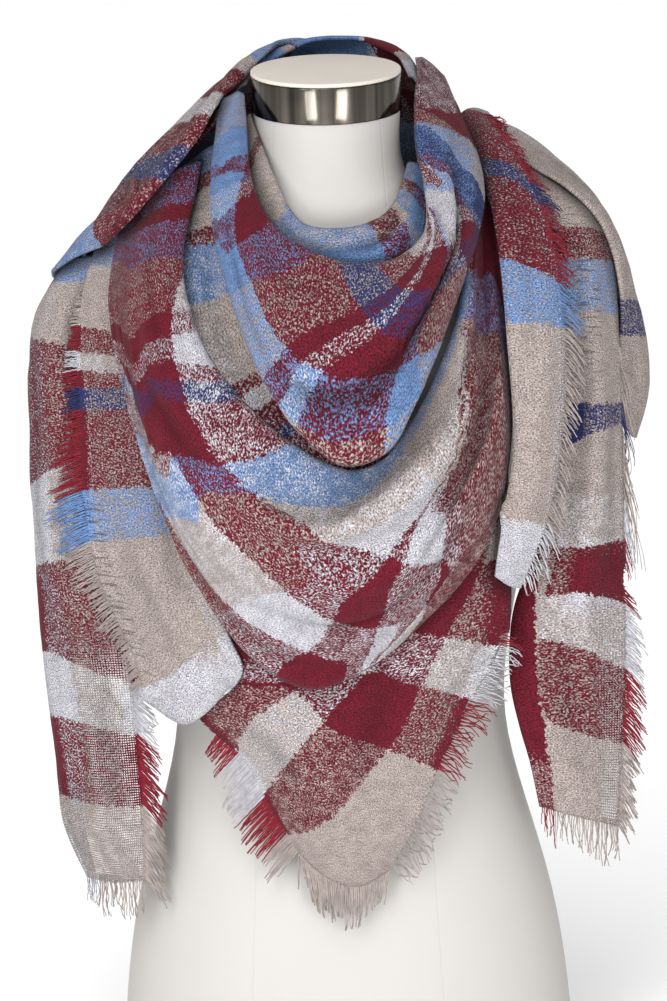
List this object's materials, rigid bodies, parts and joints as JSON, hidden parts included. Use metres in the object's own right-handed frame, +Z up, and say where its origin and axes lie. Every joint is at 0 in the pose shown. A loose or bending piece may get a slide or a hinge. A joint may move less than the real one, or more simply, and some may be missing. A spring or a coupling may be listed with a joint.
{
  "type": "blanket scarf on a dress form",
  "caption": "Large square checked blanket scarf with fringed raw edges, folded into a triangle and wound round the neck and shoulders of a limbless dress form that stands on its flat underside.",
  "frame": {"origin": "centre of the dress form's flat underside, on the plane it stands on", "axes": "+Z up along the form's neck, -Y out of the form's front, +X to the right of someone who faces the front"},
  "size_m": [0.4841, 0.3596, 0.8069],
  "materials": {
    "scarf_cloth": "brushed boucle acrylic, woven check in burgundy, light blue, beige, lavender white and navy",
    "fringe_yarn": "loose unwoven yarns of the raw edges",
    "form_cover": "smooth tight white cover",
    "neck_chrome": "polished",
    "cap_beige": "fine matt"
  },
  "bodies": {
    "root": {"form_body": "form_cover", "neck_band": "neck_chrome", "neck_cap": "cap_beige", "back_wrap": "scarf_cloth", "back_swag": "scarf_cloth", "right_tail": "scarf_cloth", "right_outer": "scarf_cloth", "left_tail": "scarf_cloth", "bib": "scarf_cloth", "left_panel": "scarf_cloth", "inner_loop": "scarf_cloth", "under_fold": "scarf_cloth", "main_swag": "scarf_cloth", "right_front": "scarf_cloth", "cowl": "scarf_cloth", "left_shoulder": "scarf_cloth", "bib_fringe_left": "fringe_yarn", "bib_fringe_right": "fringe_yarn", "panel_fringe": "fringe_yarn", "front_fringe": "fringe_yarn", "left_tail_fringe": "fringe_yarn", "left_tail_end": "fringe_yarn", "right_tail_fringe": "fringe_yarn", "right_tail_end": "fringe_yarn", "right_side_fringe": "fringe_yarn"}
  },
  "joints": []
}
